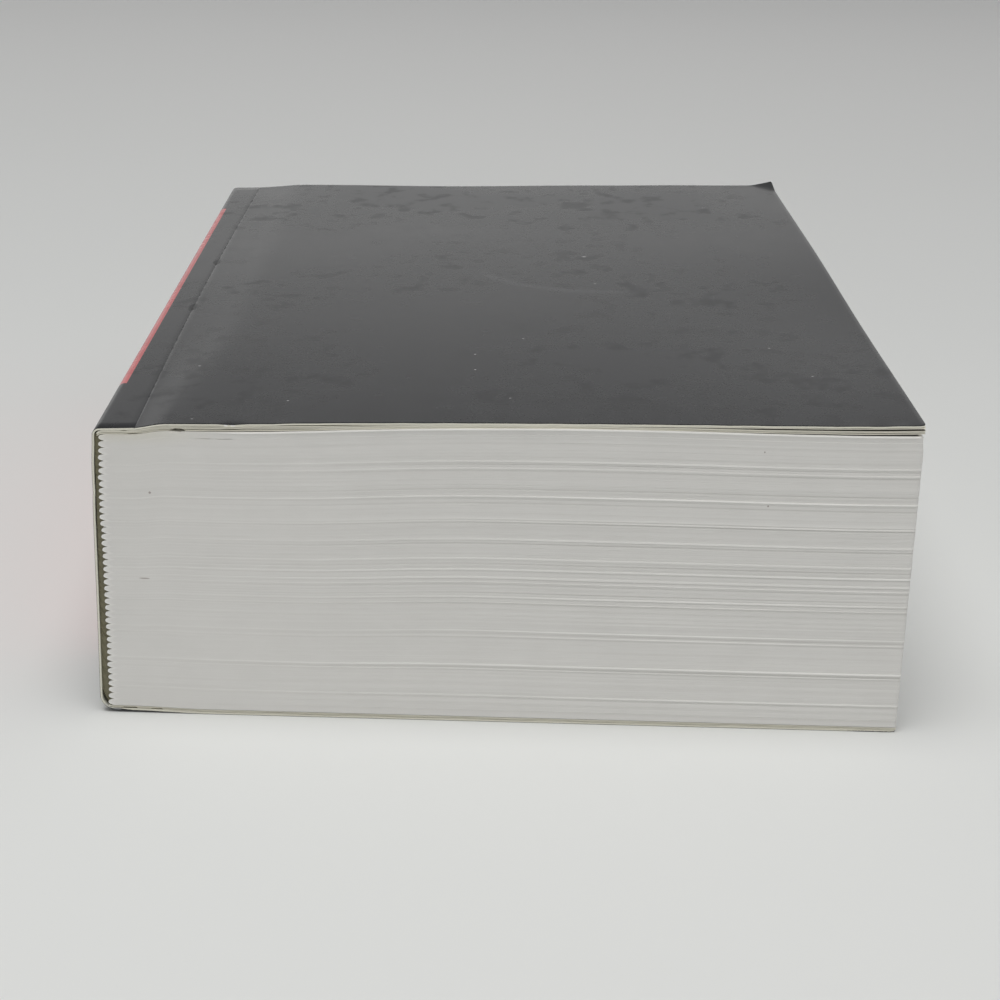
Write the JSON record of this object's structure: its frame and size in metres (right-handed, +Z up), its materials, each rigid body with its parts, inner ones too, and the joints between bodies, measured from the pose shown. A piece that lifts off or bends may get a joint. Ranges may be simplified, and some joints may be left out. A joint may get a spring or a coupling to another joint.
{
  "type": "paperback book",
  "caption": "Thick sewn paperback book lying on its back cover: a block of folded signatures glued into one card cover that is scored beside the spine, so that both covers open.",
  "frame": {"origin": "middle of the underside of the box round the closed book, on the table", "axes": "+X from the spine to the fore edge, +Y from the tail (the near end in the picture) to the head, +Z up through the book from the back cover to the front cover"},
  "size_m": [0.1532, 0.2286, 0.0622],
  "materials": {
    "pages": "matte",
    "endpapers": "matte",
    "glue": "satin",
    "cover_card": "satin"
  },
  "bodies": {
    "text_block": {"page_block": "pages", "binding_glue": "glue", "front_endpaper": "endpapers", "back_endpaper": "endpapers", "spine_cover": "cover_card"},
    "front_cover": {"front_cover": "cover_card"},
    "back_cover": {"back_cover": "cover_card"}
  },
  "joints": [
    {"name": "front_cover_hinge", "type": "hinge", "parent": "text_block", "child": "front_cover", "pos_m": [-0.06863, 0, 0.05741], "axis": [0, -1, 0], "range_deg": [0, 170]},
    {"name": "back_cover_hinge", "type": "hinge", "parent": "text_block", "child": "back_cover", "pos_m": [-0.06863, 0, 0], "axis": [0, 1, 0], "range_deg": [0, 170]}
  ]
}
